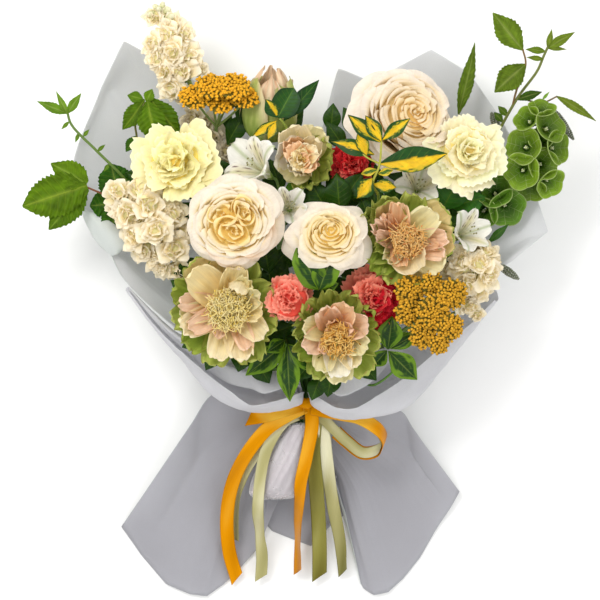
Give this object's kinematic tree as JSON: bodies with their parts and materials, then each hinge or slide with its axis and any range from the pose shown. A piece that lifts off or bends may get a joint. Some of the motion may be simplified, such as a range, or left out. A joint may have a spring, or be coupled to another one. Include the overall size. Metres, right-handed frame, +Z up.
{
  "type": "mixed flower bouquet",
  "caption": "Hand-tied mixed bouquet of roses, open tulips, carnations, yarrow, stock and foliage in folded grey-lilac wrap with satin ribbons, lying on its back.",
  "frame": {"origin": "middle of the bounding box's footprint, on the surface that the bouquet lies on", "axes": "+X to the bouquet's right as it is looked at, +Y from the cut stems to the flower tips, +Z up, away from the surface and towards the viewer"},
  "size_m": [0.5684, 0.591, 0.1906],
  "materials": {
    "petal_cream": "satin",
    "petal_green_peach": "satin",
    "petal_coral": "satin",
    "petal_yellow": "satin",
    "petal_white": "satin",
    "yarrow_gold": "matte",
    "foliage": "satin",
    "foliage_variegated": "satin",
    "calyx_green": "satin",
    "spike_grey": "matte",
    "film_lilac": "matte",
    "twine": "matte",
    "tissue": "matte",
    "clear_film": "gloss",
    "satin_orange": "satin",
    "satin_sage": "satin"
  },
  "bodies": {
    "root": {"rose_left": "petal_cream", "rose_centre": "petal_cream", "rose_right": "petal_cream", "tulip_left": "petal_green_peach", "tulip_centre": "petal_green_peach", "tulip_right": "petal_green_peach", "tulip_rear": "petal_green_peach", "tulip_bud": "petal_green_peach", "carnation_yellow_left": "petal_yellow", "carnation_yellow_right": "petal_yellow", "carnation_coral_centre": "petal_coral", "carnation_coral_right": "petal_coral", "carnation_coral_rear": "petal_coral", "stock_top_left": "petal_cream", "stock_left": "petal_cream", "stock_right": "petal_cream", "yarrow_left": "yarrow_gold", "yarrow_right": "yarrow_gold", "alstroemeria_rear_left": "petal_white", "alstroemeria_centre": "petal_white", "alstroemeria_rear_right": "petal_white", "alstroemeria_right": "petal_white", "bells_of_ireland": "calyx_green", "euonymus_centre": "foliage_variegated", "euonymus_left": "foliage_variegated", "raspberry_left": "foliage", "raspberry_top_left": "foliage", "raspberry_right": "foliage", "veronica_right": "spike_grey", "veronica_rear": "spike_grey", "veronica_low": "spike_grey", "greenery_centre": "foliage", "greenery_right": "foliage", "greenery_left": "foliage", "wrap_back": "film_lilac", "wrap_left": "film_lilac", "wrap_right": "film_lilac", "collar_left": "film_lilac", "collar_right": "film_lilac", "stem_twine": "twine", "stem_tissue": "tissue", "wet_pack": "clear_film", "ribbon_orange": "satin_orange", "ribbon_sage_left": "satin_sage", "ribbon_sage_right": "satin_sage"}
  },
  "joints": []
}
